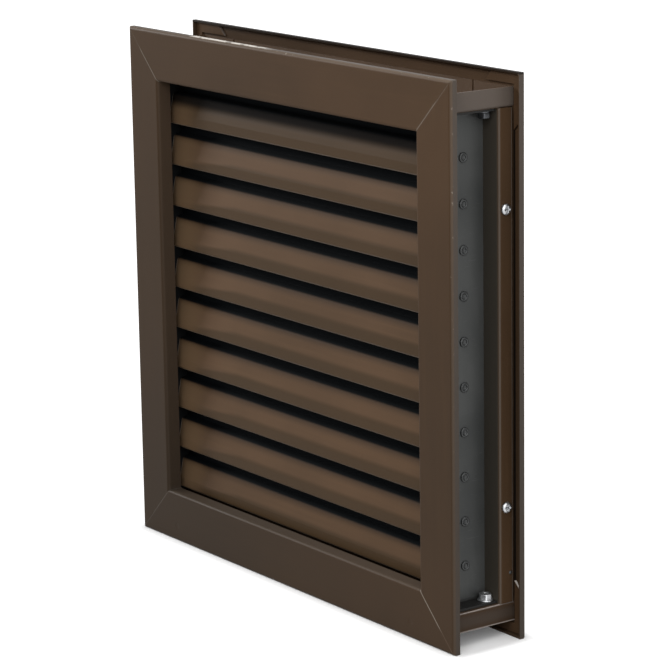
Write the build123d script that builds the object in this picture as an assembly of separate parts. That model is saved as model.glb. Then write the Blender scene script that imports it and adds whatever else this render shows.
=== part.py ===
from build123d import *
from math import cos, pi, radians, sin
import os

# Fusible link door louver: two mitred sheet steel frames that clamp a door, a core of pans and
# pivot plates between them, fixed front half blades, and pivoting rear half blades, the flaps, on
# one tie bar that a solder link holds open.
# Millimetres. X runs across the louver, +Y from the front face to the rear face, +Z up.
# The origin is on the floor line, below the middle of the depth.

# Flats that stand for the small round forms
SIDES = 12                # flats round a pin, screw or hole
BEND_TURN = radians(22)   # turn of one flat in a blade's bends

# Overall frame
WIDTH = 330.0             # outer width of both frames
HEIGHT = 330.0            # outer height of both frames
DOOR = 44.0               # thickness of the door that the frames clamp
LIP = 4.5                 # lip that turns back to the door
FACE = 32.0               # width of the flat face
RETURN = 9.5              # depth of the return around the sight opening
FRAME_SHEET = 1.2         # frame sheet thickness
FRAME_BEND = 0.9          # inside radius of the frame bends

# Core
OVERLAP = 9.0             # how far the frames lap over the door round the cutout
PAN_HEIGHT = 11.5         # depth of the head and sill pans
PAN_SHEET = 1.2
PAN_BEND = 1.8            # outside radius of the folded pan edges
PAN_SLIT = 1.3            # width of the relief slit in the pan's rear wall
PAN_SLIT_INSET = 35.0     # from the end of the pan to its slit
PLATE_INSET = 14.0        # from the core's side to the pivot plate's outer face
PLATE_SHEET = 1.5
PLATE_DEPTH = 28.8        # width of the pivot plate, front to back
PLATE_FOOT = 11.0         # length of the plate's turned foot
PLATE_BEND = 1.0          # inside radius of the foot's bend
ANGLE_SHEET = 1.2
ANGLE_LEG = 9.6           # leg of the corner angle along the door
ANGLE_BEND = 0.8

# Blades and flaps
BLADES = 10
BANK_MARGIN = 32.5        # from the frame's outer edge to the bank of blades
PIVOT_DROP = 2.4          # the row of pivots sits this far below the middle of the height
BLADE_SHEET = 0.9
BLADE_BEND = 2.4          # outside radius of the crest
HEM_BEND = 1.3            # outside radius of the hem
HEM = 2.4                 # hem turned back under the blade
BLADE_FRONT = 13.2        # from the pivot line to the lower front edge
BLADE_DROP = 12.4         # from the pivot line down to the lower edge
CREASE_BACK = 0.45        # how far the crease stands behind the lower edge
CREASE_RISE = 6.2         # from the lower edge up to the crease
CREST_BACK = 3.2          # how far the crest stands behind the lower edge
CREST_RISE = 19.0         # from the lower edge up to the crest
STEM_BACK = 5.4           # from the pivot line forward to the upright stem's face
STEM_RISE = 16.9          # from the pivot line up to the stem's top
SHOULDER_RISE = 1.3       # rise of the shoulder from the crest back to the stem
STEM_BEND = 1.0           # inside radius at the foot of the stem

PIN_RADIUS = 2.0          # shoulder rivet's pin, which the flap's curl turns on
RUNNING = 0.05            # radial clearance of a pin in its hole
CURL_RADIUS = 3.0         # outside radius of the rolled curl
FLAP_LENGTH = 18.5        # from the pivot to the flap's free edge
FLAP_SHEET = 0.9
OPEN_ANGLE = 68.0         # flap's lift from hanging, held by the link
CURL_GAP = 0.8            # end clearance from curl to pivot plate
FLAP_GAP = 1.3            # side clearance from flap to the frame's return
PIN_REACH = 11.0          # how far a rivet's pin goes into the curl
RIVET_RADIUS = 3.0
RIVET_HEAD = 1.1

# Stops that close the way past the lowest flap and over the highest stem
STOP_SHEET = 1.0
STOP_FOOT = 8.0
STOP_LAP = 5.0            # how far a stop laps the flap or stem beside it

# Tie bar and its cranks
BAR_INSET = 33.0          # from the sight opening's right edge to the tie bar
BAR_CARRIER = 4           # place in the row of the flap whose crank carries the tie bar
BAR_THICK = 2.0
BAR_WIDTH = 4.4
CRANK_OUT = 6.0           # crank pin behind the hanging flap's pivot
CRANK_DOWN = 12.0         # crank pin below the hanging flap's pivot
CRANK_RADIUS = 3.0
CRANK_SHEET = 1.2
CRANK_GAP = 0.4           # from tie bar to crank ear
CRANK_PIN = 1.5
NOTCH_SIDE = 1.0          # clearance beside the tie bar in the flap's notch
NOTCH_TOP = 12.2          # where the notch starts, below the pivot
PIN_HEAD = 0.8
PIN_HEAD_RADIUS = 2.3

# Solder link, its two hooks, and the closing spring
LINK_WIDTH = 12.0
LINK_SHEET = 0.8
SOLDER = 0.1              # solder film between the two halves
LINK_LAP = 11.0           # soldered overlap of the two halves
LINK_EDGE = 4.6           # from hole to end
LINK_CORNER = 2.6         # cut corner of a link half's end
LINK_HOLE = 2.6
HOOK_THICK = 2.0
HOOK_HEIGHT = 4.0
HOOK_TIP = 2.2            # how far a hook's tip turns up
HOOK_TIP_LENGTH = 1.5
ARM_BELOW = 21.0          # link hook on the tie bar, below its top pin
LINK_CLEAR = 7.4          # from the crank pins back to the link's front half
HANGER_DROP = 18.0        # hanger's hook below the head pan
HANGER_WIDTH = 12.0
HANGER_FOOT = 13.0
HANGER_SHEET = 1.0
HANGER_GAP = 0.3          # between the hanger and the rear frame's return
SPRING_RADIUS = 2.8
SPRING_WIRE = 0.45
SPRING_EYE = 2.3          # radius of the end loops
SPRING_SPAN = 70.0        # between the two spring holes
SPRING_BACK = 3.2         # spring line in front of the rear face
EYE_HOLE = 1.0
EYE_HEIGHT = 5.0
EYE_WIDTH = 4.0

# Screws
FOOT_SCREW_RADIUS = 2.0
FOOT_SCREW_HEAD = 4.0     # half the width across the hexagon's corners
FOOT_SCREW_HEAD_HEIGHT = 4.2
FOOT_SCREW_LENGTH = 7.0
FOOT_SCREW_X = 6.0        # from the plate's outer face
FOOT_SCREW_Y = 10.0       # behind the pivot line
SIDE_SCREW_RADIUS = 1.9
SIDE_SCREW_HEAD = 3.4
SIDE_SCREW_HEAD_HEIGHT = 2.0
SIDE_SCREW_LENGTH = 6.0
SIDE_SCREW_SPACING = 174.0
TAB_WIDTH = 16.0          # tab of the rear stile that takes a side screw
TAB_GAP = 0.1

# Places worked out from the driving dimensions
DEPTH = DOOR + 2 * LIP
FRONT = -DEPTH / 2
REAR = DEPTH / 2
CORE_X = WIDTH / 2 - OVERLAP
SILL_TOP = OVERLAP + PAN_HEIGHT
HEAD_BOTTOM = HEIGHT - SILL_TOP
CORE_FRONT = FRONT + FRAME_SHEET
CORE_REAR = REAR - FRAME_SHEET
PLATE_X = CORE_X - PLATE_INSET
PLATE_INNER = PLATE_X - PLATE_SHEET
OPENING_X = WIDTH / 2 - FACE
BAR_X = OPENING_X - BAR_INSET
PITCH = (HEIGHT - 2 * BANK_MARGIN) / BLADES
FIRST_PIVOT = HEIGHT / 2 - PIVOT_DROP - PITCH * (BLADES - 1) / 2
PIVOTS = [FIRST_PIVOT + PITCH * i for i in range(BLADES)]
LIFT = radians(OPEN_ANGLE)
CRANK_Y = CRANK_OUT * cos(LIFT) + CRANK_DOWN * sin(LIFT)
CRANK_Z = CRANK_OUT * sin(LIFT) - CRANK_DOWN * cos(LIFT)
FLAP_X = OPENING_X - FRAME_SHEET - FLAP_GAP
EAR_X = BAR_X + BAR_THICK / 2 + CRANK_GAP
LINK_FRONT = CRANK_Y + LINK_CLEAR
LINK_LOW = PIVOTS[-1] + CRANK_Z - ARM_BELOW
LINK_HIGH = HEAD_BOTTOM - HANGER_DROP
LINK_REAR = LINK_FRONT + LINK_SHEET + SOLDER
HOOK_END = LINK_REAR + LINK_SHEET + HOOK_TIP_LENGTH + 0.4
SPRING_Y = REAR - SPRING_BACK
SPRING_LOW = FACE + EYE_HEIGHT - EYE_WIDTH / 2
SPRING_HIGH = SPRING_LOW + SPRING_SPAN
SIDE_SCREWS = [HEIGHT / 2 - SIDE_SCREW_SPACING / 2, HEIGHT / 2 + SIDE_SCREW_SPACING / 2]
ANGLE_Y = PLATE_DEPTH / 2


def folded(points, sheet, bends, side=Side.RIGHT):
    """Section of a folded sheet: an outside line with rounded corners, thickened to one side."""
    path = FilletPolyline(*points, radius=bends)
    return make_face(offset(path, amount=sheet, side=side, closed=True))


def pressed(points, sheet, bends):
    """Section of a pressed sheet: like a fold, with its bends cut into flats."""
    path = FilletPolyline(*points, radius=bends)
    line = [path @ 0]
    for edge in path.order_edges():
        flats = 1
        if edge.geom_type == GeomType.CIRCLE:
            flats = max(1, round(edge.length / edge.radius / BEND_TURN))
        line += [edge @ (i / flats) for i in range(1, flats + 1)]
    strip = offset(Polyline(*line), amount=sheet, side=Side.RIGHT, closed=True, kind=Kind.INTERSECTION)
    return make_face(strip)


def prism(radius, length):
    """Many-sided pin along Z, centred, with its corners on the radius."""
    return extrude(RegularPolygon(radius, SIDES), length / 2, both=True)


def prism_x(radius, x, y, z):
    """Many-sided pin along X between two places."""
    return Pos((x[0] + x[1]) / 2, y, z) * Rot(Y=90) * prism(radius, x[1] - x[0])


def prism_z(radius, x, y, z):
    """Many-sided pin along Z between two heights."""
    return Pos(x, y, (z[0] + z[1]) / 2) * prism(radius, z[1] - z[0])


def block(x, y, z):
    """Box from its lowest and highest place along each axis."""
    middle = Pos((x[0] + x[1]) / 2, (y[0] + y[1]) / 2, (z[0] + z[1]) / 2)
    return middle * Box(x[1] - x[0], y[1] - y[0], z[1] - z[0])


def rod_x(radius, x, y, z):
    """Cylinder along X between two places."""
    middle = Pos((x[0] + x[1]) / 2, y, z)
    return middle * Rot(Y=90) * Cylinder(radius, x[1] - x[0])


def mirrored_x(part):
    return mirror(part, about=Plane.YZ)


def frame_member(length):
    """Front member lying along X: lip at the floor, face to the front, both ends mitred."""
    outer_bend = FRAME_BEND + FRAME_SHEET
    line = [(LIP, 0), (0, 0), (0, FACE), (RETURN, FACE)]
    section = folded(line, FRAME_SHEET, outer_bend)
    bar = Pos(0, FRONT, 0) * extrude(Plane.YZ * section, length / 2, both=True)
    half = length / 2
    cut = FACE + FRAME_SHEET
    mitre = Polyline((-half, 0), (half, 0), (half - cut, cut), (cut - half, cut), close=True)
    wedge = extrude(Plane.XZ * make_face(mitre), DEPTH, both=True)
    return bar & wedge


def frame_set():
    """The four members of the front frame, each in its place."""
    rail = frame_member(WIDTH)
    stile = frame_member(HEIGHT)
    middle = Pos(0, 0, HEIGHT / 2)
    return {
        "bottom_rail": rail,
        "top_rail": middle * Rot(Y=180) * Pos(0, 0, -HEIGHT / 2) * rail,
        "right_stile": middle * Rot(Y=-90) * Pos(0, 0, -WIDTH / 2) * stile,
        "left_stile": middle * Rot(Y=90) * Pos(0, 0, -WIDTH / 2) * stile,
    }


def stile_tabs():
    """Tabs on the right rear stile that stand inside the corner angle and take the side screws."""
    outer = CORE_X - ANGLE_SHEET - TAB_GAP
    front = ANGLE_Y + ANGLE_SHEET + ANGLE_BEND
    tabs = Part()
    for z in SIDE_SCREWS:
        span = (z - TAB_WIDTH / 2, z + TAB_WIDTH / 2)
        tab = block((outer - FRAME_SHEET, outer), (front, CORE_REAR), span)
        hole = prism_x(SIDE_SCREW_RADIUS, (outer - FRAME_SHEET, outer), side_screw_y(), z)
        tabs += tab - hole
    return tabs


def side_screw_y():
    return ANGLE_Y + ANGLE_LEG / 2


def spring_eye():
    """Eye tab that stands on the rear bottom return and holds the spring's lower loop."""
    half = EYE_WIDTH / 2
    x = (BAR_X - HOOK_THICK / 2, BAR_X + HOOK_THICK / 2)
    tab = block(x, (SPRING_Y - half, SPRING_Y + half), (FACE, SPRING_LOW))
    tab += prism_x(half, x, SPRING_Y, SPRING_LOW)
    return tab - prism_x(EYE_HOLE, x, SPRING_Y, SPRING_LOW)


def sill_pan():
    """Folded pan with its web up, four walls down, and a relief slit in the rear wall."""
    depth = (CORE_FRONT, CORE_REAR)
    pan = block((-CORE_X, CORE_X), depth, (OVERLAP, SILL_TOP))
    pan = fillet(pan.edges().group_by(Axis.Z)[-1], PAN_BEND)
    inner_y = (CORE_FRONT + PAN_SHEET, CORE_REAR - PAN_SHEET)
    inner_x = CORE_X - PAN_SHEET
    pan -= block((-inner_x, inner_x), inner_y, (OVERLAP - 1, SILL_TOP - PAN_SHEET))
    for x in (PAN_SLIT_INSET - CORE_X, CORE_X - PAN_SLIT_INSET):
        span = (x - PAN_SLIT / 2, x + PAN_SLIT / 2)
        pan -= block(span, (CORE_REAR - PAN_SHEET, CORE_REAR), (OVERLAP, SILL_TOP - PAN_BEND))
    for x in (foot_screw_x(), -foot_screw_x()):
        pan -= prism_z(FOOT_SCREW_RADIUS, x, FOOT_SCREW_Y, (SILL_TOP - PAN_SHEET, SILL_TOP))
    return pan


def foot_screw_x():
    return PLATE_X + FOOT_SCREW_X


def to_head(part):
    """Turn a piece of the sill over to the head."""
    return mirror(part, about=Plane(origin=(0, 0, HEIGHT / 2), z_dir=(0, 0, 1)))


def pivot_plate():
    """Right pivot plate: a web with a row of rivet holes and a foot turned out at each end."""
    foot = PLATE_X + PLATE_FOOT
    line = [(foot, HEAD_BOTTOM), (PLATE_INNER, HEAD_BOTTOM), (PLATE_INNER, SILL_TOP), (foot, SILL_TOP)]
    section = folded(line, PLATE_SHEET, PLATE_BEND + PLATE_SHEET, Side.LEFT)
    plate = extrude(Plane.XZ * section, PLATE_DEPTH / 2, both=True)
    for z in PIVOTS:
        plate -= prism_x(PIN_RADIUS, (PLATE_INNER, PLATE_X), 0, z)
    x, y = foot_screw_x(), FOOT_SCREW_Y
    plate -= prism_z(FOOT_SCREW_RADIUS, x, y, (SILL_TOP, SILL_TOP + PLATE_SHEET))
    return plate - prism_z(FOOT_SCREW_RADIUS, x, y, (HEAD_BOTTOM - PLATE_SHEET, HEAD_BOTTOM))


def corner_angle():
    """Right rear angle: one leg faces the front beside the plate, one leg lies along the door."""
    leg_end = ANGLE_Y + ANGLE_LEG
    line = [(PLATE_INNER, ANGLE_Y), (CORE_X, ANGLE_Y), (CORE_X, leg_end)]
    section = folded(line, ANGLE_SHEET, ANGLE_BEND + ANGLE_SHEET, Side.LEFT)
    return Pos(0, 0, SILL_TOP) * extrude(section, HEAD_BOTTOM - SILL_TOP)


def front_blade():
    """Fixed half blade: hem, steep face with a shallow crease, rounded crest, shoulder and stem."""
    edge = (-BLADE_FRONT, -BLADE_DROP)
    crease = (edge[0] + CREASE_BACK, edge[1] + CREASE_RISE)
    crest = (edge[0] + CREST_BACK, edge[1] + CREST_RISE)
    stem_foot = (-STEM_BACK, crest[1] + SHOULDER_RISE)
    stem_top = (-STEM_BACK, STEM_RISE)
    hem = (edge[0] + HEM, edge[1])
    line = [hem, edge, crease, crest, stem_foot, stem_top]
    section = pressed(line, BLADE_SHEET, [HEM_BEND, BLADE_BEND, BLADE_BEND, STEM_BEND])
    return extrude(Plane.YZ * section, PLATE_INNER, both=True)


def sill_stop():
    """Angle on the sill pan: its upright laps the lowest flap's free edge when that hangs down."""
    top = PIVOTS[0] - FLAP_LENGTH + STOP_LAP
    foot = -STEM_BACK - STOP_FOOT
    line = [(foot, SILL_TOP), (BLADE_SHEET - STEM_BACK, SILL_TOP), (BLADE_SHEET - STEM_BACK, top)]
    section = folded(line, STOP_SHEET, STOP_SHEET * 2, Side.LEFT)
    return extrude(Plane.YZ * section, PLATE_INNER, both=True)


def head_stop():
    """Angle under the head pan: its upright laps the highest blade's stem from behind."""
    bottom = PIVOTS[-1] + STEM_RISE - STOP_LAP
    front = BLADE_SHEET - STEM_BACK + RUNNING
    line = [(front + STOP_FOOT, HEAD_BOTTOM), (front, HEAD_BOTTOM), (front, bottom)]
    section = folded(line, STOP_SHEET, STOP_SHEET * 2, Side.LEFT)
    return extrude(Plane.YZ * section, PLATE_INNER, both=True)


def flap():
    """Closing flap as it hangs: a curl on the pivot line, a panel, a notch and a crank ear."""
    curl_x = PLATE_INNER - CURL_GAP
    bore = PIN_RADIUS + RUNNING
    curl = prism_x(CURL_RADIUS, (-curl_x, curl_x), 0, 0)
    panel_y = (-CURL_RADIUS, FLAP_SHEET - CURL_RADIUS)
    panel = block((-FLAP_X, FLAP_X), panel_y, (-FLAP_LENGTH, 0))
    notch_x = (BAR_X - BAR_THICK / 2 - NOTCH_SIDE, EAR_X)
    panel -= block(notch_x, panel_y, (-FLAP_LENGTH, -NOTCH_TOP))
    ear_x = (EAR_X, EAR_X + CRANK_SHEET)
    ear_z = (-CRANK_DOWN - CRANK_RADIUS, CRANK_RADIUS - CRANK_DOWN)
    ear = block(ear_x, (panel_y[0], CRANK_OUT), ear_z)
    ear += prism_x(CRANK_RADIUS, ear_x, CRANK_OUT, -CRANK_DOWN)
    hole = (CRANK_PIN + RUNNING) / cos(pi / SIDES)
    ear -= prism_x(hole, ear_x, CRANK_OUT, -CRANK_DOWN)
    return curl + panel + ear - rod_x(bore, (-curl_x, curl_x), 0, 0)


def pivot_rivet():
    """Right rivet on the first pivot line: head outside, pin through the plate into the curl."""
    rivet = prism_x(PIN_RADIUS, (PLATE_INNER - PIN_REACH, PLATE_X), 0, 0)
    return rivet + prism_x(RIVET_RADIUS, (PLATE_X, PLATE_X + RIVET_HEAD), 0, 0)


def hook(start, end, z, tip_up):
    """Flat hook along +Y at the tie bar, with its tip turned up or down."""
    x = (BAR_X - HOOK_THICK / 2, BAR_X + HOOK_THICK / 2)
    finger = block(x, (start, end), (z - HOOK_HEIGHT / 2, z + HOOK_HEIGHT / 2))
    tip = (z, z + HOOK_HEIGHT / 2 + HOOK_TIP)
    if not tip_up:
        tip = (z - HOOK_HEIGHT / 2 - HOOK_TIP, z)
    return finger + block(x, (end - HOOK_TIP_LENGTH, end), tip)


def tie_bar():
    """Flat bar with a headed pin for each flap, the link's lower hook and the spring's arm."""
    x = (BAR_X - BAR_THICK / 2, BAR_X + BAR_THICK / 2)
    y = (CRANK_Y - BAR_WIDTH / 2, CRANK_Y + BAR_WIDTH / 2)
    pins = [z + CRANK_Z for z in PIVOTS]
    bar = block(x, y, (pins[0], pins[-1]))
    for z in (pins[0], pins[-1]):
        bar += prism_x(BAR_WIDTH / 2, x, CRANK_Y, z)
    bar += hook(CRANK_Y, HOOK_END, LINK_LOW, tip_up=False)
    half = EYE_WIDTH / 2
    bar += block(x, (CRANK_Y, SPRING_Y), (SPRING_HIGH - half, SPRING_HIGH + half))
    bar += prism_x(half, x, SPRING_Y, SPRING_HIGH)
    bar -= prism_x(EYE_HOLE, x, SPRING_Y, SPRING_HIGH)
    ear_face = EAR_X + CRANK_SHEET + CRANK_GAP
    for place, z in enumerate(pins):
        pin = rod_x if place == BAR_CARRIER else prism_x
        bar += pin(CRANK_PIN, (x[1], ear_face), CRANK_Y, z)
        bar += prism_x(PIN_HEAD_RADIUS, (ear_face, ear_face + PIN_HEAD), CRANK_Y, z)
    return bar


def link_half(front, hole_z, away):
    """Half of the solder link: a strip with cut corners at its hole, away from there by its length."""
    half = LINK_WIDTH / 2
    span = LINK_HIGH - LINK_LOW
    length = (span + LINK_LAP) / 2
    y = (front, front + LINK_SHEET)
    top, low = sorted((hole_z, hole_z + away * length))[::-1]
    strip = block((BAR_X - half, BAR_X + half), y, (low, top))
    end = block((BAR_X - half, BAR_X + half), y, (hole_z - LINK_EDGE, hole_z + LINK_EDGE))
    end = chamfer(end.edges().filter_by(Axis.Y), LINK_CORNER)
    middle = Pos(BAR_X, front + LINK_SHEET / 2, hole_z)
    return strip + end - middle * Rot(X=90) * prism(LINK_HOLE, LINK_SHEET)


def link_hanger():
    """Hanger under the head pan: a foot, a leg in front of the rear return, and the upper hook."""
    leg_y = REAR - RETURN - HANGER_GAP
    foot_y = leg_y - HANGER_FOOT
    bottom = LINK_HIGH - HOOK_HEIGHT / 2
    line = [(foot_y, HEAD_BOTTOM), (leg_y, HEAD_BOTTOM), (leg_y, bottom)]
    section = folded(line, HANGER_SHEET, HANGER_SHEET * 2)
    hanger = Pos(BAR_X, 0, 0) * extrude(Plane.YZ * section, HANGER_WIDTH / 2, both=True)
    return hanger + hook(leg_y - HANGER_SHEET, HOOK_END, LINK_HIGH, tip_up=True)


def closing_spring():
    """Outer form of the extension spring, with the loop at each end."""
    low = SPRING_LOW + 2 * SPRING_EYE
    high = SPRING_HIGH - 2 * SPRING_EYE
    spring = prism_z(SPRING_RADIUS, BAR_X, SPRING_Y, (low, high))
    wire = 2 * SPRING_WIRE
    loop = prism(SPRING_EYE + SPRING_WIRE, wire) - prism(SPRING_EYE - SPRING_WIRE, wire)
    for z in (SPRING_LOW + SPRING_EYE, SPRING_HIGH - SPRING_EYE):
        spring += Pos(BAR_X, SPRING_Y, z) * Rot(X=90) * loop
    return spring


def foot_screw():
    """Right sill screw: a hexagon head on the plate's foot, a shank through the pan's web."""
    seat = SILL_TOP + PLATE_SHEET
    x, y = foot_screw_x(), FOOT_SCREW_Y
    head = extrude(RegularPolygon(FOOT_SCREW_HEAD, 6), FOOT_SCREW_HEAD_HEIGHT)
    shank = prism_z(FOOT_SCREW_RADIUS, x, y, (seat - FOOT_SCREW_LENGTH, seat))
    return shank + Pos(x, y, seat) * head


def side_screw(z):
    """Right side screw: a pan head on the corner angle, a shank through the rear stile's tab."""
    y = side_screw_y()
    shank = prism_x(SIDE_SCREW_RADIUS, (CORE_X - SIDE_SCREW_LENGTH, CORE_X), y, z)
    return shank + prism_x(SIDE_SCREW_HEAD, (CORE_X, CORE_X + SIDE_SCREW_HEAD_HEIGHT), y, z)


def both_sides(parts):
    """Pieces of the right side and their mirror images, as one group."""
    return Compound(children=parts + [mirrored_x(p) for p in parts])


def build():
    nodes = {}
    front = frame_set()
    for name, member in front.items():
        nodes["front_" + name] = member
        nodes["rear_" + name] = mirror(member, about=Plane.XZ)
    tabs = stile_tabs()
    nodes["rear_right_stile"] += tabs
    nodes["rear_left_stile"] += mirrored_x(tabs)
    nodes["rear_bottom_rail"] += spring_eye()

    nodes["sill_pan"] = sill_pan()
    nodes["head_pan"] = to_head(nodes["sill_pan"])
    nodes["right_pivot_plate"] = pivot_plate()
    nodes["left_pivot_plate"] = mirrored_x(nodes["right_pivot_plate"])

    angle = corner_angle()
    rear_angle = angle
    for z in SIDE_SCREWS:
        rear_angle -= prism_x(SIDE_SCREW_RADIUS, (CORE_X - ANGLE_SHEET, CORE_X), side_screw_y(), z)
    front_angle = mirror(angle, about=Plane.XZ)
    nodes["rear_right_angle"] = rear_angle
    nodes["rear_left_angle"] = mirrored_x(rear_angle)
    nodes["front_right_angle"] = front_angle
    nodes["front_left_angle"] = mirrored_x(front_angle)

    nodes["sill_stop"] = sill_stop()
    nodes["head_stop"] = head_stop()
    blade = front_blade()
    lifted = Rot(X=OPEN_ANGLE) * flap()
    for number, z in enumerate(PIVOTS, start=1):
        nodes[f"front_blade_{number:02d}"] = Pos(0, 0, z) * blade
        nodes[f"flap_{number:02d}"] = Pos(0, 0, z) * lifted

    rivets = [Pos(0, 0, z) * pivot_rivet() for z in PIVOTS]
    nodes["left_pivot_rivets"] = Compound(children=[mirrored_x(rivet) for rivet in rivets])
    nodes["right_pivot_rivets"] = Compound(children=rivets)
    nodes["tie_bar"] = tie_bar()
    nodes["link_lower_half"] = link_half(LINK_FRONT, LINK_LOW, 1)
    nodes["link_upper_half"] = link_half(LINK_REAR, LINK_HIGH, -1)
    nodes["link_hanger"] = link_hanger()
    nodes["closing_spring"] = closing_spring()

    screw = foot_screw()
    nodes["foot_screws"] = both_sides([screw, to_head(screw)])
    nodes["side_screws"] = both_sides([side_screw(z) for z in SIDE_SCREWS])
    return nodes


os.makedirs("parts", exist_ok=True)
for name, shape in build().items():
    shape.label = name
    export_step(shape, f"parts/{name}.step")
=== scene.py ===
import math
import bpy
import numpy as np
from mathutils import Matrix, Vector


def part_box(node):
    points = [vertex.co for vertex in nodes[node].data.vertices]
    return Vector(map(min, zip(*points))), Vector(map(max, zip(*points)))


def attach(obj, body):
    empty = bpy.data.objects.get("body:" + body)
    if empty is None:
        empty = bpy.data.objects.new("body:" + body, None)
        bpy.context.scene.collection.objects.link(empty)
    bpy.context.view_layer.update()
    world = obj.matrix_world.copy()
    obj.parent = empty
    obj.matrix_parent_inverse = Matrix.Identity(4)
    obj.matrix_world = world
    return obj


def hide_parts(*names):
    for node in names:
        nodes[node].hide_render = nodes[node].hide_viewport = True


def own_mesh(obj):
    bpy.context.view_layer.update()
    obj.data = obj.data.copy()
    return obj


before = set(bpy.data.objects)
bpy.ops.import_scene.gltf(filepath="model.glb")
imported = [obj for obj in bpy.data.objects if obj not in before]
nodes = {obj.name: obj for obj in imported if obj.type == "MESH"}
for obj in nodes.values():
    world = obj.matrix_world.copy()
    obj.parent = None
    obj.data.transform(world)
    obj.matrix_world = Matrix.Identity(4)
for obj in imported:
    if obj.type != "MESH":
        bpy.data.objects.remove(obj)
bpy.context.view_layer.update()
mm = 0.001
fullTurn = 2 * math.pi

louver = dict(width=330 * mm, height=330 * mm, depth=53 * mm)  # overall sizes
halfWidth = louver["width"] / 2
halfDepth = louver["depth"] / 2
pivots = (43.35 + 26.5 * np.arange(10)) * mm  # heights of the flap pivots
linkage = dict(x=100 * mm, springY=23.3 * mm, springLow=35 * mm, springHigh=105 * mm,
               joint="flap_05_hinge")


# Shader sockets with plain arithmetic

class Sock:
    def __init__(self, tree, socket):
        self.tree = tree
        self.socket = socket

    def node(self, kind, settings=None, out=0, **values):
        made = self.tree.nodes.new(kind)
        for key, value in (settings or {}).items():
            setattr(made, key, value)
        for key, value in values.items():
            feed(self.tree, made.inputs[int(key[1:])], value)  # i0, i1 ... are the input's places
        return Sock(self.tree, made.outputs[out])

    def maths(self, operation, *others):
        values = {f"i{k}": v for k, v in enumerate((self,) + others)}
        return self.node("ShaderNodeMath", dict(operation=operation), **values)

    def __add__(self, other):
        return self.maths("ADD", other)

    def __radd__(self, other):
        return self.maths("ADD", other)

    def __sub__(self, other):
        return self.maths("SUBTRACT", other)

    def __rsub__(self, other):
        return self.node("ShaderNodeMath", dict(operation="SUBTRACT"), i0=other, i1=self)

    def __mul__(self, other):
        return self.maths("MULTIPLY", other)

    def __rmul__(self, other):
        return self.maths("MULTIPLY", other)

    def __truediv__(self, other):
        return self.maths("DIVIDE", other)

    def __abs__(self):
        return self.maths("ABSOLUTE")

    def smaller(self, other):
        return self.maths("MINIMUM", other)

    def larger(self, other):
        return self.maths("MAXIMUM", other)

    def ramp(self, low, high, start=0.0, end=1.0):  # smooth step from start at low to end at high
        settings = dict(interpolation_type="SMOOTHSTEP")
        return self.node("ShaderNodeMapRange", settings, i0=self, i1=low, i2=high, i3=start, i4=end)

    def fall(self, low, high):  # smooth step from 1 at low to 0 at high
        return self.ramp(low, high, 1.0, 0.0)


def feed(tree, socket, value):  # link a socket, or set a plain value
    if isinstance(value, Sock):
        tree.links.new(value.socket, socket)
    else:
        socket.default_value = value


def mixColour(factor, first, second):  # first where the factor is 0, second where it is 1
    colours = [c if isinstance(c, Sock) else (*c, 1) for c in (first, second)]
    settings = dict(data_type="RGBA")
    return factor.node("ShaderNodeMix", settings, out=2, i0=factor, i6=colours[0], i7=colours[1])


def newMaterial(name):  # a principled material and its object coordinates
    made = bpy.data.materials.new(name)
    made.use_nodes = True
    tree = made.node_tree
    shader = next(n for n in tree.nodes if n.type == "BSDF_PRINCIPLED")
    place = tree.nodes.new("ShaderNodeTexCoord")
    where = Sock(tree, place.outputs["Object"])
    return made, tree, shader, where


def stretched(where, scale):  # coordinates pulled out along some axes
    return where.node("ShaderNodeMapping", i0=where, i3=scale)


grainy = dict(detail=4.0, rough=0.6)  # noise for streaks and fine grain


def noise(where, scale, detail=3.0, rough=0.5):  # cloudy value about 0.5
    return where.node("ShaderNodeTexNoise", i0=where, i2=scale, i3=detail, i4=rough)


def bump(height, strength, distance):  # normals tilted by the slope of a height
    return height.node("ShaderNodeBump", i0=strength, i1=distance, i3=height)


def axes(where):  # the three coordinates as single values
    parts = where.tree.nodes.new("ShaderNodeSeparateXYZ")
    where.tree.links.new(where.socket, parts.inputs[0])
    return [Sock(where.tree, out) for out in parts.outputs]


def connect(tree, shader, **values):  # feeds the shader's inputs by name
    for key, value in values.items():
        feed(tree, shader.inputs[key.replace("_", " ")], value)


def toned(colour, factor):  # the colour with each channel times the factor
    return tuple(channel * factor for channel in colour)


# Brown enamel, common to all painted pieces
# In these dictionaries a pair is the start and end of a smooth step, and a four adds its two values.

paint = dict(
    colour=(0.076, 0.044, 0.023), light=(0.083, 0.048, 0.026), dark=(0.067, 0.039, 0.021),
    # edge is the colour of painted highlights, grey the colour of painted sheen
    edge=(0.20, 0.165, 0.135), bare=(0.34, 0.30, 0.25), grey=(0.130, 0.120, 0.111),
    shade=(0.0012, 0.0019, 0.0025), dust=(0.22, 0.19, 0.16),
)
coat = dict(
    cloudScale=9.0, streakScale=60.0, peelScale=900.0, dustScale=2600.0,
    patches=(0.32, 0.70), streaks=(0.45, 0.80), specks=(0.66, 0.74),
    streakShare=0.35, streakTone=1.25, dustShare=0.12,
    cloudRough=0.14, streakRough=0.10, peelHeight=0.6, streakHeight=0.4,
    bumpStrength=0.25, bumpDistance=0.12 * mm,
)
# Steps from left to right, front to rear and low to high
halves = dict(x=(-0.01, 0.01), y=(-0.01, 0.01), z=(0.15, 0.18))


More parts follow.
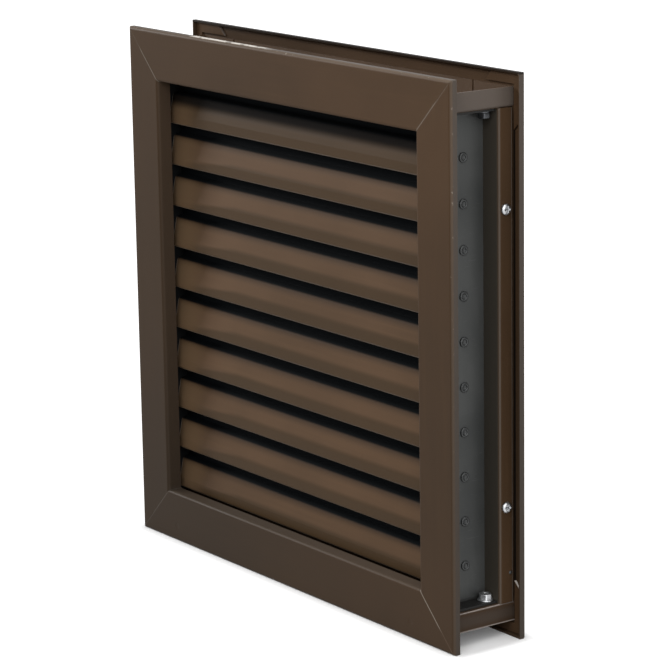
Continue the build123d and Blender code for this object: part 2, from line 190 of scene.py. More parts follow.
def enamel(where, grain, tone, rough):  # clouded brown, streaks along the grain, dust and orange peel
    cloud = noise(where, coat["cloudScale"])
    streak = noise(stretched(where, grain), coat["streakScale"], **grainy)
    peel = noise(where, coat["peelScale"], detail=2.0, rough=0.45)
    dust = noise(where, coat["dustScale"], detail=1.0).ramp(*coat["specks"])
    base = mixColour(cloud.ramp(*coat["patches"]), toned(paint["dark"], tone), toned(paint["light"], tone))
    streakColour = toned(paint["colour"], tone * coat["streakTone"])
    base = mixColour(streak.ramp(*coat["streaks"]) * coat["streakShare"], base, streakColour)
    base = mixColour(dust * coat["dustShare"], base, paint["dust"])
    rough = rough + (cloud - 0.5) * coat["cloudRough"] + (streak - 0.5) * coat["streakRough"]
    height = peel * coat["peelHeight"] + streak * coat["streakHeight"]
    return base, rough, height


# Frame members: painted highlights on the bends and sight edges, painted sheen on the lips, mitre lines,
# and the tones across the frame, some of them painted shade and a painted highlight

seam = dict(
    bend=(1.9 * mm, 1.0 * mm),  # measured in from the face
    # rim and sight set painted highlights, lip a painted sheen
    rim=(0.3 * mm, 1.7 * mm), rimShare=0.40,
    lip=(0.1 * mm, 0.5 * mm), lipShare=0.62,
    sight=(30.8 * mm, 31.9 * mm), sightHeights=(30 * mm, 36 * mm), sightLow=0.42, sightHigh=0.12,
    line=(0.22 * mm, 0.6 * mm), lineRough=0.10, lineDepth=6.0,
    halo=(0.4 * mm, 2.6 * mm), haloShare=0.12, haloColour=(0.12, 0.09, 0.065),
    bright=(11 * mm, 15 * mm), faintest=0.05, plain=0.28, lowerRight=0.45, upperLeft=0.25,
)
tones = dict(
    # painted shade, darker low and to the left
    shadeX=(-0.17, 0.17, 0.5, 0.07), shadeZ=(0.0, 0.33, 0.5, 0.0), shadeShare=0.72,
    shadeColour=(0.032, 0.0255, 0.0195),
    chipScale=420.0, chips=(0.66, 0.72), chipHeights=(0.10, 0.20), chipShare=0.55,
    # crown: painted shade on the rear frame's top lip
    crownZ=(328.4 * mm, 329.0 * mm), crownY=(25.8 * mm, 26.2 * mm), crownShare=0.72,
    # joint: painted shade in the gap beside the rear angle
    jointFrom=(155.2 * mm, 156.0 * mm), jointTo=(157.0 * mm, 157.8 * mm), jointY=(25.4 * mm, 25.7 * mm),
    jointLow=(21 * mm, 26 * mm), jointHigh=(304 * mm, 309 * mm), jointShadeShare=0.9,
    # painted highlight on the front top lip, with a ragged outline
    lipHighlightScale=160.0, ragged=(0.36, 0.52), lipHighlightZ=(329.6 * mm, 329.9 * mm),
    lipHighlightFrom=(-100 * mm, -90 * mm), lipHighlightTo=(-24 * mm, -4 * mm), lipHighlightY=(-25.6 * mm, -25.0 * mm),
    lipHighlightColour=(0.58, 0.54, 0.49),
)


def frameTones(base, rough, height, where):  # by the distances from the outer edge and the mitre
    x, y, z = axes(where)
    edgeX = halfWidth - abs(x)
    edgeZ = z.smaller(louver["height"] - z)
    edge = edgeX.smaller(edgeZ)  # distance from the frame's outer edge
    bend = abs(y).ramp(halfDepth - seam["bend"][0], halfDepth - seam["bend"][1])
    rim = edge.fall(*seam["rim"]) * bend  # painted highlight on the outer bends
    lip = edge.fall(*seam["lip"]) * (1 - bend)  # painted sheen: greyer lips
    # painted highlight along the inner sight edge, stronger low down
    sight = edge.ramp(*seam["sight"]) * z.ramp(*seam["sightHeights"], seam["sightLow"], seam["sightHigh"])
    base = mixColour(lip * seam["lipShare"], base, paint["grey"])
    base = mixColour(rim * seam["rimShare"] + sight, base, paint["edge"])

    offset = abs(edgeX - edgeZ)  # distance from the mitre
    line = offset.fall(*seam["line"])
    halo = offset.fall(*seam["halo"])
    right = x.ramp(*halves["x"])
    upper = z.ramp(*halves["z"])
    lowerRight = right * (1 - upper)  # brightest mitre lines
    upperLeft = (1 - right) * upper
    level = seam["plain"] + lowerRight * seam["lowerRight"] + upperLeft * seam["upperLeft"]
    worn = seam["faintest"] + edgeX.ramp(*seam["bright"]) * level
    base = mixColour(halo * seam["haloShare"], base, seam["haloColour"])
    base = mixColour(line * worn, base, paint["bare"])
    rough = rough - line * seam["lineRough"]
    height = height - line * seam["lineDepth"]

    shadeFall = x.ramp(*tones["shadeX"]) + z.ramp(*tones["shadeZ"])  # painted shade: darker low and to the left
    base = mixColour(shadeFall * (1 - line * lowerRight) * tones["shadeShare"], base, tones["shadeColour"])
    chips = noise(where, tones["chipScale"], detail=2.0).ramp(*tones["chips"])
    chips = rim * z.ramp(*tones["chipHeights"]) * chips  # sparse, high on the outer bends
    base = mixColour(chips * tones["chipShare"], base, paint["bare"])
    rear = y.ramp(*halves["y"])
    crown = rear * z.ramp(*tones["crownZ"]) * y.fall(*tones["crownY"])  # painted shade on the rear frame's top lip
    base = mixColour(crown * tones["crownShare"], base, paint["shade"])
    jointX = abs(x).ramp(*tones["jointFrom"]) * abs(x).fall(*tones["jointTo"])
    jointZ = z.ramp(*tones["jointLow"]) * z.fall(*tones["jointHigh"])
    joint = jointX * jointZ * rear * y.fall(*tones["jointY"])  # painted shade in the gap beside the rear angle
    base = mixColour(joint * tones["jointShadeShare"], base, paint["shade"])
    ragged = noise(where, tones["lipHighlightScale"]).ramp(*tones["ragged"])
    lipHighlightX = x.ramp(*tones["lipHighlightFrom"]) * x.fall(*tones["lipHighlightTo"])
    lipHighlight = z.ramp(*tones["lipHighlightZ"]) * lipHighlightX * ragged * (1 - rear)  # painted highlight on the front top lip
    base = mixColour(lipHighlight * y.ramp(*tones["lipHighlightY"]), base, tones["lipHighlightColour"])
    return base, rough, height


# Front blades: painted shade behind the crest, a painted sheen band over a darker band, a painted lighter
# left end, painted shade on the top blade and a painted highlight on the hem

blade = dict(
    end=140.5 * mm, crestY=-10.0 * mm, lowEdge=30.95 * mm, pitch=26.5 * mm, hem=1.1 * mm,
    crest=(-1.2 * mm, 0.7 * mm), hemShare=0.50, insideRough=0.5,
    # band and low: painted sheen, a lighter band above a darker lower band
    bandSlope=0.0886, bandRise=14.3 * mm, bandTop=8.0 * mm, bandSoft=1.5 * mm,
    lowShare=0.7, lowColour=(0.044, 0.027, 0.012), topBlade=(268.6 * mm, 269.4 * mm),
    leftEnd=(-128 * mm, -104 * mm, 0.9, 0.0), leftColour=(0.150, 0.096, 0.054),
    hood=(278.5 * mm, 285.0 * mm, 0.0, 0.92), cut=(0.9 * mm, 0.3 * mm), cutShare=0.6,
)


def bladeTones(base, rough, where):  # by the height above each blade's lower edge
    x, y, z = axes(where)
    inside = y.ramp(blade["crestY"] + blade["crest"][0], blade["crestY"] + blade["crest"][1])
    outside = 1 - inside
    base = mixColour(inside, base, paint["shade"])  # painted shade: near black behind the crest
    above = ((z - blade["lowEdge"]) / blade["pitch"]).maths("FRACT") * blade["pitch"]
    # painted sheen: the lighter band's lower edge rises from the left end
    bandEdge = x * blade["bandSlope"] + blade["bandRise"]  # rises from its left end
    bandEdge = bandEdge.smaller(blade["bandTop"])
    low = (above - bandEdge).fall(-blade["bandSoft"], blade["bandSoft"])
    low = low.larger(z.ramp(*blade["topBlade"])) * outside  # the top blade has no painted sheen band
    base = mixColour(low * blade["lowShare"], base, blade["lowColour"])
    # painted light: a lighter left end on each blade
    base = mixColour(x.ramp(*blade["leftEnd"]) * outside, base, blade["leftColour"])
    hood = z.ramp(*blade["hood"])
    base = mixColour(hood, base, paint["shade"])  # painted shade: the top blade dark under the head
    # painted highlight along each blade's lower edge
    hem = above.fall(blade["hem"] * 0.5, blade["hem"]) * outside
    base = mixColour(hem * blade["hemShare"], base, paint["edge"])
    cut = abs(x).ramp(blade["end"] - blade["cut"][0], blade["end"] - blade["cut"][1])
    base = mixColour(cut * outside * blade["cutShare"], base, paint["bare"])
    return base, rough + inside.larger(hood) * blade["insideRough"]


# Corner clips: bare cut ends, with a painted highlight on those at the bottom, dimmer ones at the top left
# and painted shade on those at the top right

clipEnd = dict(along=(25.5 * mm, 25.8 * mm), lowShare=0.95, highShare=0.6, low=(0.66, 0.62, 0.57),
               left=(0.20, 0.17, 0.15), right=(0.01, 0.008, 0.006))


def clipTones(base, where):  # by the distance from the mitre
    x, _, z = axes(where)
    along = abs(halfWidth - abs(x) - z.smaller(louver["height"] - z))
    ends = along.ramp(*clipEnd["along"])
    upper = z.ramp(*halves["z"])
    # bare cut ends: painted highlight on the low ones, painted shade on the high right ones
    base = mixColour(ends * (1 - upper) * clipEnd["lowShare"], base, clipEnd["low"])
    high = mixColour(x.ramp(*halves["x"]), clipEnd["left"], clipEnd["right"])
    return mixColour(ends * upper * clipEnd["highShare"], base, high)


# Head pan and sill pan: side walls, with painted sheen and painted highlights

panWall = dict(side=(155.0 * mm, 155.8 * mm), share=0.55)
sillWall = dict(bends=(9.0 * mm, 20.5 * mm), side=(154.5 * mm, 155.2 * mm), line=(0.3 * mm, 0.9 * mm),
                lineShare=0.75, lineColour=(0.42, 0.37, 0.34), core=1.0 * mm, bandShare=0.3,
                bandColour=(0.088, 0.081, 0.076))


def panTones(base, where):  # painted sheen: greyer on the side walls
    x = axes(where)[0]
    return mixColour(abs(x).ramp(*panWall["side"]) * panWall["share"], base, paint["grey"])


def sillTones(base, where):  # painted highlights along the wall's top and bottom bends, a painted grey sheen band between them
    x, _, z = axes(where)
    low, high = sillWall["bends"]
    middle = (low + high) / 2
    side = abs(x).ramp(*sillWall["side"])
    band = abs(z - middle).fall(sillWall["core"], high - middle) * side
    base = mixColour(band * sillWall["bandShare"], base, sillWall["bandColour"])
    bright = abs(z - low).fall(*sillWall["line"]).larger(abs(z - high).fall(*sillWall["line"]))
    return mixColour(bright * side * sillWall["lineShare"], base, sillWall["lineColour"])


# Corner angles: a dark leg beside the plate, light lines on the bend and on the free edge

angleLeg = dict(plateLeg=(154.0 * mm, 155.5 * mm, 0.8, 0.0), plateColour=(0.050, 0.049, 0.042),
                foldFrom=(14.6 * mm, 15.0 * mm), foldTo=(15.4 * mm, 15.9 * mm),
                foldX=(154.4 * mm, 155.0 * mm), edgeY=(23.3 * mm, 23.7 * mm),
                edgeX=(155.0 * mm, 155.6 * mm), lineShare=0.55, lineColour=(0.150, 0.130, 0.112))


def angleTones(base, where):  # by the place along each leg
    x, y, _ = axes(where)
    base = mixColour(abs(x).ramp(*angleLeg["plateLeg"]), base, angleLeg["plateColour"])
    fold = abs(y).ramp(*angleLeg["foldFrom"]) * abs(y).fall(*angleLeg["foldTo"])
    fold = fold * abs(x).ramp(*angleLeg["foldX"])
    edge = abs(y).ramp(*angleLeg["edgeY"]) * abs(x).ramp(*angleLeg["edgeX"])
    return mixColour(fold.larger(edge) * angleLeg["lineShare"], base, angleLeg["lineColour"])


# Faint dents in the bottom rails
dent = dict(x=124 * mm, z=10 * mm, radius=2.6 * mm, core=0.35, depth=5.0)


def dentedHeight(height, where):  # lower within a circle about each dent
    x, _, z = axes(where)
    for side in (-1, 1):
        dx = x - side * dent["x"]
        dz = z - dent["z"]
        away = (dx * dx + dz * dz).maths("SQRT")
        height = height - away.ramp(dent["radius"] * dent["core"], dent["radius"], dent["depth"], 0.0)
    return height


# Enamel, then the tones of its kind
def brownPaint(name, grain, kind="", tone=1.0, dented=False, gloss=0.04, rough=0.45):
    made, tree, shader, where = newMaterial(name)
    base, rough, height = enamel(where, grain, tone, rough)
    if kind == "frame":
        base, rough, height = frameTones(base, rough, height, where)
    elif kind == "blade":
        base, rough = bladeTones(base, rough, where)
    elif kind:
        base = dict(clip=clipTones, pan=panTones, sill=sillTones, angle=angleTones)[kind](base, where)
    if dented:
        height = dentedHeight(height, where)
    relief = bump(height, coat["bumpStrength"], coat["bumpDistance"])
    connect(tree, shader, Base_Color=base, Roughness=rough, Normal=relief)
    shader.inputs["Specular IOR Level"].default_value = gloss
    return made


# Grey sheet of the pivot plates

plateSteel = dict(
    light=(0.086, 0.089, 0.087), dark=(0.056, 0.059, 0.058), rough=0.52, metallic=0.45,
    rolledScale=30.0, rolledGrain=(1, 40, 2), cloudScale=18.0, patches=(0.3, 0.7),
    rubScale=25.0, rubGrain=(1, 6, 60), rubbed=(0.62, 0.80), rubShare=0.30, rubColour=(0.16, 0.165, 0.165),
    inner=(140.6 * mm, 141.2 * mm), feet=(22.1 * mm, 24.0 * mm), feetShare=0.93,
    feetColour=(0.010, 0.009, 0.008), rolledRough=0.2, rubGloss=0.08,
    bumpStrength=0.12, bumpDistance=0.10 * mm,
)


def greySheet(name):  # clouded grey with rubbed streaks, painted shade on the inner face and on the turned feet
    made, tree, shader, where = newMaterial(name)
    x, _, z = axes(where)
    rolled = noise(stretched(where, plateSteel["rolledGrain"]), plateSteel["rolledScale"], **grainy)
    cloud = noise(where, plateSteel["cloudScale"])
    rub = noise(stretched(where, plateSteel["rubGrain"]), plateSteel["rubScale"])
    rub = rub.ramp(*plateSteel["rubbed"])
    base = mixColour(cloud.ramp(*plateSteel["patches"]), plateSteel["dark"], plateSteel["light"])
    base = mixColour(rub * plateSteel["rubShare"], base, plateSteel["rubColour"])
    # painted shade on the plate's inner face
    base = mixColour(abs(x).fall(*plateSteel["inner"]), base, paint["shade"])
    # painted shade on the turned feet under the pans
    feet = z.smaller(louver["height"] - z).fall(*plateSteel["feet"])
    base = mixColour(feet * plateSteel["feetShare"], base, plateSteel["feetColour"])
    rough = plateSteel["rough"] + (rolled - 0.5) * plateSteel["rolledRough"] - rub * plateSteel["rubGloss"]
    relief = bump(rolled, plateSteel["bumpStrength"], plateSteel["bumpDistance"])
    connect(tree, shader, Base_Color=base, Roughness=rough, Normal=relief)
    shader.inputs["Metallic"].default_value = plateSteel["metallic"]
    return made


# Bright metals

metal = dict(
    fineScale=3, tarnishScale=0.3, patches=(0.3, 0.7), tarnished=(0.52, 0.72), tarnishShare=0.35,
    tarnishTone=0.62, fineRough=0.18, spangleRough=0.05, spangleMean=0.3, tarnishRough=0.10,
    # painted shade on the upper foot screws
    shadeSoft=5 * mm, shadeShare=0.85, shadeColour=(0.022, 0.025, 0.031),
    bumpStrength=0.15, bumpDistance=0.06 * mm,
)


# Two tones in fine noise, darker and rougher where tarnished, with painted shade above an optional height
def brightMetal(name, light, dark, rough, scale, grain=(1, 1, 1), metallic=1.0, shadeAbove=None):
    made, tree, shader, where = newMaterial(name)
    spangle = where.node("ShaderNodeTexVoronoi", i0=where, i2=scale)
    fine = noise(stretched(where, grain), scale * metal["fineScale"], **grainy)
    tarnish = noise(where, scale * metal["tarnishScale"]).ramp(*metal["tarnished"])
    base = mixColour(fine.ramp(*metal["patches"]), dark, light)
    base = mixColour(tarnish * metal["tarnishShare"], base, toned(light, metal["tarnishTone"]))
    if shadeAbove:  # painted shade above this height
        shaded = axes(where)[2].ramp(shadeAbove - metal["shadeSoft"], shadeAbove)
        base = mixColour(shaded * metal["shadeShare"], base, metal["shadeColour"])
    rough = rough + (fine - 0.5) * metal["fineRough"] + tarnish * metal["tarnishRough"]
    rough = rough + (spangle - metal["spangleMean"]) * metal["spangleRough"]
    relief = bump(fine, metal["bumpStrength"], metal["bumpDistance"])
    connect(tree, shader, Base_Color=base, Roughness=rough, Normal=relief)
    shader.inputs["Metallic"].default_value = metallic
    return made


paintRail = brownPaint("brownEnamelRails", (0.2, 4, 4), "frame", dented=True)
paintStile = brownPaint("brownEnamelStiles", (4, 4, 0.2), "frame")
# tone 1.32: painted sheen, the blades lighter than the frame
paintBlade = brownPaint("brownEnamelBlades", (0.15, 5, 5), "blade", tone=1.32, gloss=0.06, rough=0.36)
paintPan = brownPaint("brownEnamelPans", (0.3, 3, 3), "pan", tone=1.06, gloss=0.25)
# tone 0.62: painted shade, the sill darker than the head pan
paintSill = brownPaint("brownEnamelSill", (0.3, 3, 3), "sill", tone=0.62, gloss=0.10)
paintAngle = brownPaint("brownEnamelAngles", (4, 4, 0.25), "angle", tone=0.92)
paintFlap = brownPaint("brownEnamelFlaps", (0.15, 5, 5), tone=0.96)
clipPaint = brownPaint("brownEnamelClips", (4, 4, 0.25), "clip")
plateGrey = greySheet("greyPivotSheet")
zinc = dict(light=(0.62, 0.63, 0.64), dark=(0.48, 0.49, 0.51), rough=0.34, scale=700.0)
zincPlate = brightMetal("zincPlate", **zinc)
# the upper foot screws get painted shade
footZinc = brightMetal("footScrewZinc", **zinc, shadeAbove=0.29)
rivetSteel = brightMetal("rivetSteel", (0.085, 0.088, 0.088), (0.045, 0.047, 0.047), 0.45, 900.0,
                         metallic=0.6)
wireSteel = brightMetal("drawnWire", (0.42, 0.43, 0.45), (0.30, 0.31, 0.33), 0.30, 1200.0)
linkBrass = brightMetal("linkBrass", (0.66, 0.44, 0.17), (0.50, 0.32, 0.11), 0.32, 500.0, (1, 1, 12))
solderTin = brightMetal("solderTin", (0.46, 0.46, 0.45), (0.33, 0.33, 0.33), 0.46, 800.0)
print("finishes ready")


def finishFor(name):  # by the words in the node's name
    if name.endswith("rail"):
        return paintRail
    if name.endswith("stile"):
        return paintStile
    if name.endswith("angle"):
        return paintAngle
    if name.startswith("sill"):
        return paintSill
    if name.endswith("pan") or name.endswith("stop"):
        return paintPan
    if name.startswith("front_blade"):
        return paintBlade
    if name.startswith("flap"):
        return paintFlap
    if name.endswith("plate"):
        return plateGrey
    if name.endswith("rivets"):
        return rivetSteel
    if name.startswith("link_") and name.endswith("half"):
        return linkBrass
    return zincPlate


for name, node in nodes.items():
    node.data.materials.clear()
    node.data.materials.append(finishFor(name))
print("CAD nodes painted", len(nodes))


# Surfaces on grids

def gridFaces(rows, columns):  # quads between rings of points, and a cap on each end ring
    r, c = (a.ravel() for a in np.meshgrid(np.arange(rows - 1), np.arange(columns), indexing="ij"))
    here = r * columns
    beyond = here + columns
    nextC = (c + 1) % columns
    quads = np.stack([here + c, here + nextC, beyond + nextC, beyond + c], 1)
    ring = np.arange(columns)
    return [*quads.tolist(), ring[::-1].tolist(), (ring + (rows - 1) * columns).tolist()]


def addPiece(name, grids, material, body, smooth=True):  # one mesh of all the grids
    points, faces, start = [], [], 0
    for grid in grids:  # one grid of rings for each repeat
        rows, columns = grid.shape[:2]
        points.append(grid.reshape(-1, 3))
        faces += [[start + corner for corner in face] for face in gridFaces(rows, columns)]
        start += rows * columns
    mesh = bpy.data.meshes.new(name)
    mesh.from_pydata(np.concatenate(points).tolist(), [], faces)
    mesh.polygons.foreach_set("use_smooth", np.full(len(mesh.polygons), smooth))
    mesh.materials.append(material)
    piece = bpy.data.objects.new(name, mesh)
    bpy.context.scene.collection.objects.link(piece)
    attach(piece, body)
    return piece


def flipped(grid, axis):  # mirror image along one axis, rings turned round to keep the faces outwards
    sign = np.ones(3)
    sign[axis] = -1
    return grid[:, ::-1] * sign


def onBothSides(grid):  # the grid on the right side and its mirror image on the left
    return [grid, flipped(grid, 0)]


def circle(sides):  # even angles once round, the end left out
    return np.linspace(0, fullTurn, sides, endpoint=False)


def threadRidge(levels, pitch, turn):  # saw-tooth wave up a helix, 1 on the crest and 0 in the root
    return np.abs(((levels / pitch - turn / fullTurn) % 1) * 2 - 1)


pole = 0.01  # radius in mm of the ring that closes a turned form's end


def lathe(profile, sides):  # profile of (along, radius) turned about the first axis
    turn = circle(sides)
    along, radius = np.array(profile, float).T[:, :, None]
    along = np.broadcast_to(along, (len(profile), sides))
    return np.stack([along, radius * np.cos(turn), radius * np.sin(turn)], -1)


def tube(path, radius, reference, sides=10):  # circle carried along a path, square to it
    tangent = np.gradient(path, axis=0)
    tangent /= np.linalg.norm(tangent, axis=1, keepdims=True)
    side = np.cross(tangent, reference)
    side /= np.linalg.norm(side, axis=1, keepdims=True)
    up = np.cross(tangent, side)
    turn = circle(sides)[None, :, None]
    return path[:, None] + radius * (np.cos(turn) * side[:, None] + np.sin(turn) * up[:, None])


# Rivets: a rolled hollow head outside the plate and a plain pin into the flap's curl

rivet = dict(plateX=142.0, pinLength=12.5, pinRadius=2.0, sides=28)
rivetPin = [(-rivet["pinLength"], pole), (-rivet["pinLength"], rivet["pinRadius"] - 0.2),
            (-rivet["pinLength"] + 0.2, rivet["pinRadius"]), (-0.02, rivet["pinRadius"])]
rivetHead = [(0.0, 2.95), (0.25, 3.0), (0.7, 2.92), (1.0, 2.62), (1.1, 2.2), (1.02, 1.8), (0.72, 1.52),
             (0.3, 1.42), (0.22, 1.2), (0.20, pole)]
oneRivet = (lathe(rivetPin + rivetHead, rivet["sides"]) + np.array([rivet["plateX"], 0, 0])) * mm
for one, name in zip(onBothSides(oneRivet), ("right", "left")):
    heads = [one + np.array([0, 0, z]) for z in pivots]
    piece = addPiece(name + "RivetHeads", heads, rivetSteel, "frame")
    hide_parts(name + "_pivot_rivets")
print("rivets made")


# Foot screws: hexagon washer heads with a threaded shank

footScrew = dict(x=148.0, y=10.0, seat=22.0, height=4.2, across=6.9, washer=4.6, shank=2.0, length=7.0,
                 pitch=1.1, threadDepth=0.14, threadRings=46, sides=48)


def hexScrew():  # rings of (radius round the axis, level): tip, thread, washer, hexagon, dished top
    turn = circle(footScrew["sides"])
    sixth = math.pi / 3
    flat = footScrew["across"] / 2 / np.cos((turn + sixth / 2) % sixth - sixth / 2)
    crown = np.minimum(flat, footScrew["across"] / 2 * 1.02)
    disc = np.ones(footScrew["sides"])
    top, end, washer = footScrew["height"], -footScrew["length"], footScrew["washer"]
    rings = [(disc * pole, end - 0.4), (disc * 1.2, end - 0.2)]
    for level in np.linspace(end, -0.1, footScrew["threadRings"]):
        ridge = threadRidge(level, footScrew["pitch"], turn)
        root = 1 - footScrew["threadDepth"]
        rings.append((footScrew["shank"] * (root + footScrew["threadDepth"] * ridge), level))
    rings += [(disc * washer, 0.0), (disc * (washer + 0.1), 0.35), (disc * (washer - 0.1), 0.8),
              (flat + 0.25, 1.0), (flat, 1.3), (flat, top - 0.6), (flat * 0.985, top - 0.35),
              (crown, top - 0.05), (crown * 0.92, top), (disc * 2.1, top - 0.02), (disc * 1.9, top - 0.45),
              (disc * pole, top - 0.55)]
    radius = np.stack([r for r, level in rings])
    levels = np.array([level for r, level in rings])[:, None] * disc
    return np.stack([radius * np.cos(turn), radius * np.sin(turn), levels], -1)


lowScrew = hexScrew()
tall = louver["height"] / mm
screws = []
for side in (1, -1):
    for one, seat in ((lowScrew, footScrew["seat"]), (flipped(lowScrew, 2), tall - footScrew["seat"])):
        screws.append((one + np.array([side * footScrew["x"], footScrew["y"], seat])) * mm)
piece = addPiece("footScrewHeads", screws, footZinc, "frame")
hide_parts("foot_screws")


# Side screws: pan heads with a cross recess, as a height over a disc

sideScrew = dict(faceX=156.0, y=19.2, spacing=174.0, head=3.4, height=2.0, shank=1.9, length=6.0, pitch=1.0,
                 threadDepth=0.16, threadRings=36, headRings=26, sides=64)
recess = dict(depth=1.05, reach=1.95, endSlope=0.3, halfWidth=0.62, sideSlope=0.25)


def panScrew():  # tip, thread, then a dome less a cross cut where either coordinate is small
    turn = circle(sideScrew["sides"])[None]
    share = np.linspace(1, 0.004, sideScrew["headRings"])[:, None]
    radius = share * sideScrew["head"]
    dome = sideScrew["height"] * (1 - share ** 5) ** 0.5
    y, z = radius * np.cos(turn), radius * np.sin(turn)
    arms = np.minimum(np.abs(y), np.abs(z))
    reach = np.clip((recess["reach"] - radius) / recess["endSlope"], 0, 1)
    cross = recess["depth"] * np.clip((recess["halfWidth"] - arms) / recess["sideSlope"], 0, 1) * reach
    head = np.stack([dome - cross, y, z], -1)
    levels = np.linspace(-sideScrew["length"], -0.05, sideScrew["threadRings"])[:, None]
    ridge = threadRidge(levels, sideScrew["pitch"], turn)
    core = sideScrew["shank"] * (1 - sideScrew["threadDepth"] * (1 - ridge))
    shank = np.stack([levels + 0 * turn, core * np.cos(turn), core * np.sin(turn)], -1)
    tip = shank[:1] * np.array([1, 0.01, 0.01]) - np.array([0.5, 0, 0])
    return np.concatenate([tip, shank, head])


screws = []
for way in (-1, 1):
    z = tall / 2 + way * sideScrew["spacing"] / 2
    screws += onBothSides((panScrew() + np.array([sideScrew["faceX"], sideScrew["y"], z])) * mm)
piece = addPiece("sideScrewHeads", screws, zincPlate, "frame")
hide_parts("side_screws")
print("screws made")


# Closing spring: a wire helix with a loop at each end

spring = dict(coil=2.35, wire=0.45, turns=24, loop=2.3, stepsPerTurn=20, loopSteps=36,
              loopStart=-0.35, loopEnd=fullTurn - 0.75)
springLow, springHigh = linkage["springLow"] / mm, linkage["springHigh"] / mm


def springWire():  # a helix between the loops, and an open ring upright at each end
    bottom, top = springLow + 2 * spring["loop"], springHigh - 2 * spring["loop"]
    turn = np.linspace(0, fullTurn * spring["turns"], spring["stepsPerTurn"] * spring["turns"])
    height = bottom + (top - bottom) * turn / turn[-1]
    coil = np.stack([spring["coil"] * np.cos(turn), spring["coil"] * np.sin(turn), height], -1)
    parts = [tube(coil, spring["wire"], np.array([0, 0, 1.0]))]
    for z, way in ((springLow + spring["loop"], 1), (springHigh - spring["loop"], -1)):
        bend = np.linspace(spring["loopStart"], spring["loopEnd"], spring["loopSteps"]) + math.pi / 2 * way
        ring = np.stack([spring["loop"] * np.cos(bend), 0 * bend, z + spring["loop"] * np.sin(bend)], -1)
        parts.append(tube(ring, spring["wire"], np.array([0, 1.0, 0])))
    return [p * mm + np.array([linkage["x"], linkage["springY"], 0]) for p in parts]


piece = addPiece("closingSpringCoil", springWire(), wireSteel, "frame")
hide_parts("closing_spring")
pull = np.array([0, -7.37, -13.07])  # how the tie bar's arm moves as the flaps close
pullAxis = -pull / np.linalg.norm(pull)
pullKeep = 1 - np.linalg.norm(pull) / ((springHigh - springLow) * pullAxis[2])
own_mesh(piece)
print("spring made")


# Solder beads along the two edges of the link's lap

bead = dict(width=10.6, radius=0.5, inset=0.25, steps=40, sides=12, mean=0.75, swell=0.25, taper=0.6,
            waves=(2.1, 0.9), frontPhase=0.4, rearPhase=1.3)


def solderBead(y, z, phase):  # round bead, thicker and thinner along its length, tapered at the ends
    path = np.linspace(-bead["width"] / 2, bead["width"] / 2, bead["steps"])
    line = np.stack([path + linkage["x"] / mm, 0 * path + y, 0 * path + z], -1)
    wave = np.sin(path * bead["waves"][0]) * np.cos(path * bead["waves"][1] + phase)
    radius = bead["radius"] * (bead["mean"] + bead["swell"] * wave)
    radius *= np.clip((bead["width"] / 2 - np.abs(path)) / bead["taper"], 0.02, 1) ** 0.5
    turn = circle(bead["sides"])
    ring = np.stack([0 * turn, np.cos(turn), np.sin(turn)], -1)
    return (line[:, None] + radius[:, None, None] * ring[None]) * mm


lowBox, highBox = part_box("link_lower_half"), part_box("link_upper_half")
frontEdge = solderBead(lowBox[1].y / mm - bead["inset"], lowBox[1].z / mm, bead["frontPhase"])
rearEdge = solderBead(highBox[0].y / mm + bead["inset"], highBox[0].z / mm, bead["rearPhase"])
addPiece("solderBeadFront", [frontEdge], solderTin, "frame")
addPiece("solderBeadRear", [rearEdge], solderTin, "tie_bar")
print("solder made")


# Small domed rivets low on the rear angles

angleRivet = dict(x=156.0, y=22.2, z=38.4, radius=1.1, height=0.7, sunk=0.3, sides=20)
domeTurn = np.linspace(math.pi / 2, 0.02, 8)
domeProfile = [(-angleRivet["sunk"], pole), (-angleRivet["sunk"], angleRivet["radius"])]
domeProfile += [(angleRivet["height"] * math.cos(a), angleRivet["radius"] * math.sin(a)) for a in domeTurn]
dome = lathe(domeProfile, angleRivet["sides"])
dome = (dome + np.array([angleRivet["x"], angleRivet["y"], angleRivet["z"]])) * mm
addPiece("angleRivetHeads", onBothSides(dome), rivetSteel, "frame")
print("angle rivets made")


# Corner clips: bent strips in the rear frame's lip channel, with their ends cut along the mitre

clip = dict(outer=1.7, inner=7.4, reach=26.0, back=25.3, thick=1.2, gap=0.02)


def cornerClip(sideX, sideZ):  # closed strip: outer, inner, inner back, outer back along three stations
    low, high, reach = clip["outer"], clip["inner"], clip["reach"]
    front, rear = clip["back"] - clip["thick"], clip["back"] - clip["gap"]
    stations = [((low, low + reach), (high, high + reach)), ((low, low), (high, high)),
                ((low + reach, low), (high + reach, high))]
    rows = []
    for (ax, az), (bx, bz) in stations:
        rows.append([(ax, front, az), (bx, front, bz), (bx, rear, bz), (ax, rear, az)])
    rows = np.array(rows)
    rows[..., 0] = sideX * (halfWidth / mm - rows[..., 0])
    rows[..., 2] = rows[..., 2] if sideZ < 0 else tall - rows[..., 2]
    if sideX * sideZ > 0:
        rows = rows[:, ::-1]
    return rows * mm


clips = [cornerClip(sideX, sideZ) for sideX in (1, -1) for sideZ in (1, -1)]
addPiece("rearCornerClips", clips, clipPaint, "frame", smooth=False)
print("corner clips made")


# Floor: white to the camera, shaded under the part

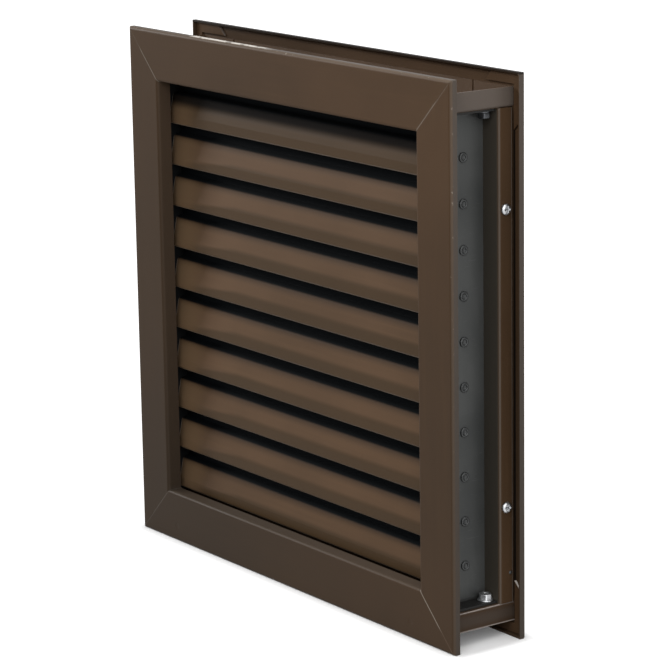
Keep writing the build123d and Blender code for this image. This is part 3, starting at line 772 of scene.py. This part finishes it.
floor = dict(half=30, rough=0.9, strength=1.35)
contact = dict(under=0.94, around=0.32, fade=9 * mm, near=0.20, far=0.65)  # share of the lit floor seen
bounce = dict(seen=(0.93, 0.93, 0.93), light=(0.36, 0.35, 0.34))  # colour to the eye and to bounced light
corners = [(x * floor["half"], y * floor["half"], 0) for x, y in ((-1, -1), (1, -1), (1, 1), (-1, 1))]
floorMesh = bpy.data.meshes.new("paleFloor")
floorMesh.from_pydata(corners, [], [(0, 1, 2, 3)])
floorPiece = bpy.data.objects.new("paleFloor", floorMesh)
bpy.context.scene.collection.objects.link(floorPiece)
floorMaterial, floorTree, floorShader, floorWhere = newMaterial("paleFloor")
floorShader.inputs["Roughness"].default_value = floor["rough"]


def seenRays(tree):  # 1 for camera, mirror and glass rays
    path = tree.nodes.new("ShaderNodeLightPath")
    kinds = ("Is Camera Ray", "Is Glossy Ray", "Is Transmission Ray")
    rays = [Sock(tree, path.outputs[kind]) for kind in kinds]
    return rays[0].larger(rays[1]).larger(rays[2])


floorLight = floorTree.nodes.new("ShaderNodeEmission")
floorLight.inputs["Strength"].default_value = floor["strength"]
seen = seenRays(floorTree)
feed(floorTree, floorShader.inputs["Base Color"], mixColour(seen, bounce["light"], bounce["seen"]))
floorX, floorY = axes(floorWhere)[:2]
overX = (abs(floorX) - halfWidth).larger(0.0)
overY = (abs(floorY) - halfDepth).larger(0.0)
reach = (overX * overX + overY * overY).maths("SQRT")  # distance from the part's footprint
keep = reach.ramp(0.0, contact["fade"], contact["under"], contact["around"])
keep = keep * reach.fall(contact["near"], contact["far"])
share = 1 - seen * (1 - keep)
floorMix = share.node("ShaderNodeMixShader", i0=share, i1=Sock(floorTree, floorLight.outputs[0]),
                      i2=Sock(floorTree, floorShader.outputs[0]))
floorEnd = next(n for n in floorTree.nodes if n.type == "OUTPUT_MATERIAL")
floorTree.links.new(floorMix.socket, floorEnd.inputs["Surface"])
floorMesh.materials.append(floorMaterial)


# Light

lamps = dict(
    key=dict(place=(-1.82, -0.78, 0.92), aim=(0, 0, 0.17), size=0.5, power=31.0),
    fill=dict(place=(1.9, -0.7, 1.0), aim=(0, 0, 0.15), size=1.6, power=15.0),
    front=dict(place=(0.75, -1.0, 1.05), aim=(0.1, 0, 0.25), size=0.6, power=6.0),
    top=dict(place=(0.3, 0.2, 2.2), aim=(0, 0, 0.1), size=1.6, power=22.0),
)
for lampName, lamp in lamps.items():
    light = bpy.data.lights.new(lampName, "AREA")
    light.energy = lamp["power"]
    light.size = lamp["size"]
    holder = bpy.data.objects.new(lampName, light)
    holder.location = lamp["place"]
    aim = np.array(lamp["aim"]) - np.array(lamp["place"])
    holder.rotation_euler = Vector(aim).to_track_quat("-Z", "Y").to_euler()
    bpy.context.scene.collection.objects.link(holder)

room = dict(extra=0.7, light=0.3)  # the room's light, and how much brighter it looks to the eye
world = bpy.data.worlds.new("paleRoom")
world.use_nodes = True
worldTree = world.node_tree
sky = next(n for n in worldTree.nodes if n.type == "BACKGROUND")
sky.inputs["Color"].default_value = (1, 1, 1, 1)
feed(worldTree, sky.inputs["Strength"], seenRays(worldTree) * room["extra"] + room["light"])
bpy.context.scene.world = world


# Camera, fitted to the photo

shot = dict(place=(1.42598, -1.01279, 0.55734), azimuth=54.39, elevation=12.87, roll=-0.92, lens=161.34,
            sensor=36, clipEnd=100)
camera = bpy.data.cameras.new("photoCamera")
camera.lens = shot["lens"]
camera.sensor_width = shot["sensor"]
camera.clip_end = shot["clipEnd"]
cameraHolder = bpy.data.objects.new("photoCamera", camera)
az, el, roll = (math.radians(shot[k]) for k in ("azimuth", "elevation", "roll"))
back = np.array([math.sin(az) * math.cos(el), -math.cos(az) * math.cos(el), math.sin(el)])
right = np.cross(-back, (0, 0, 1))
right /= np.linalg.norm(right)
up = np.cross(right, -back)
turnedRight = right * math.cos(roll) + up * math.sin(roll)
turnedUp = up * math.cos(roll) - right * math.sin(roll)
columns = np.stack([turnedRight, turnedUp, back, shot["place"]], 1)
cameraHolder.matrix_world = Matrix(np.vstack([columns, [0, 0, 0, 1]]))
bpy.context.scene.collection.objects.link(cameraHolder)
bpy.context.scene.camera = cameraHolder
bpy.context.scene.view_settings.view_transform = "Standard"
print("stage set")
